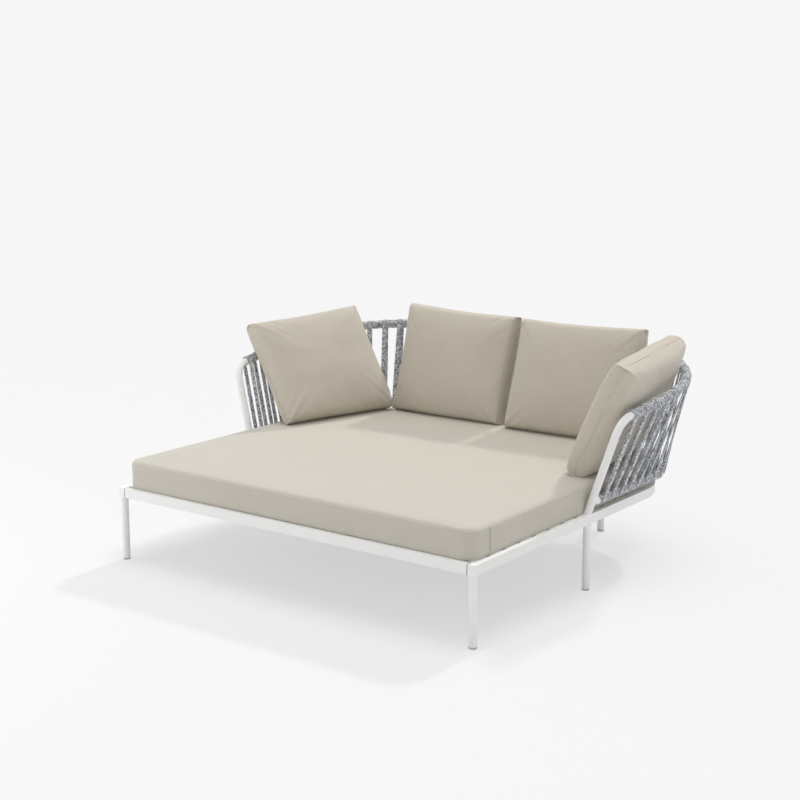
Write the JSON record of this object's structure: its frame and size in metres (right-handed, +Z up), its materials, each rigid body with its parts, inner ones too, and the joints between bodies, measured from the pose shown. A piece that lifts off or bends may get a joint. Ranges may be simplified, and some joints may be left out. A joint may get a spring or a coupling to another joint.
{
  "type": "outdoor daybed",
  "caption": "Low tubular daybed with a rope-strung arm and back rail, a slatted deck, a boxed seat mattress and loose pillows.",
  "frame": {"origin": "on the floor under the middle of the footprint, rope rail and strands included", "axes": "+X towards the right arm as seen from the front, -Y out of the open front, +Z up"},
  "size_m": [2.019, 1.6894, 0.9033],
  "materials": {
    "frame_coat": "fine off-white powder coat",
    "slat_coat": "off-white powder coat",
    "inner_metal": "plain mill finish",
    "stud_steel": "plain steel",
    "glide_plastic": "fine moulded texture",
    "rope": "flat braided outdoor rope, blue-grey melange",
    "mattress_fabric": "plain-weave outdoor fabric, sand beige",
    "pillow_fabric": "plain-weave outdoor fabric, sand beige"
  },
  "bodies": {
    "frame": {"corner_casting_left": "frame_coat", "corner_casting_right": "frame_coat", "rail_front": "frame_coat", "rail_side_left": "frame_coat", "rail_side_right": "frame_coat", "rail_back": "frame_coat", "rail_joiners": "inner_metal", "leg_front_left": "frame_coat", "leg_front_right": "frame_coat", "leg_mid_left": "frame_coat", "leg_mid_right": "frame_coat", "leg_back_left": "frame_coat", "leg_back_right": "frame_coat", "leg_plugs": "inner_metal", "glide_front_left": "glide_plastic", "glide_front_right": "glide_plastic", "glide_mid_left": "glide_plastic", "glide_mid_right": "glide_plastic", "glide_back_left": "glide_plastic", "glide_back_right": "glide_plastic", "clamp_studs": "stud_steel", "deck_beams": "frame_coat", "beam_sockets": "frame_coat", "slat_ledges": "frame_coat", "slats": "slat_coat", "arm_post_left": "frame_coat", "arm_post_right": "frame_coat", "arm_tube_left": "frame_coat", "arm_tube_right": "frame_coat", "back_tube": "frame_coat", "tube_joiners": "inner_metal", "back_post_left": "frame_coat", "back_post_right": "frame_coat", "post_plugs": "inner_metal", "low_tube_left": "frame_coat", "low_tube_back": "frame_coat", "low_tube_right": "frame_coat", "low_rail_fittings": "frame_coat", "rope_wrap_top_left": "rope", "rope_wrap_top_back": "rope", "rope_wrap_top_right": "rope", "rope_wrap_low_left": "rope", "rope_wrap_low_back": "rope", "rope_wrap_low_right": "rope", "rope_strands_arm_left": "rope", "rope_strands_corner_left": "rope", "rope_strands_back": "rope", "rope_strands_corner_right": "rope", "rope_strands_arm_right": "rope"},
    "seat_mattress": {"mattress": "mattress_fabric"},
    "left_pillow": {"pillow_left": "pillow_fabric"},
    "back_left_pillow": {"pillow_back_left": "pillow_fabric"},
    "back_right_pillow": {"pillow_back_right": "pillow_fabric"},
    "right_pillow": {"pillow_right": "pillow_fabric"}
  },
  "joints": [
    {"name": "mattress_lift", "type": "slide", "parent": "frame", "child": "seat_mattress", "axis": [0, 0, 1], "range_m": [0, 0.45]},
    {"name": "left_pillow_lift", "type": "slide", "parent": "seat_mattress", "child": "left_pillow", "axis": [0, 0, 1], "range_m": [0, 0.35]},
    {"name": "back_left_pillow_lift", "type": "slide", "parent": "seat_mattress", "child": "back_left_pillow", "axis": [0, 0, 1], "range_m": [0, 0.35]},
    {"name": "back_right_pillow_lift", "type": "slide", "parent": "seat_mattress", "child": "back_right_pillow", "axis": [0, 0, 1], "range_m": [0, 0.35]},
    {"name": "right_pillow_lift", "type": "slide", "parent": "seat_mattress", "child": "right_pillow", "axis": [0, 0, 1], "range_m": [0, 0.35]}
  ]
}
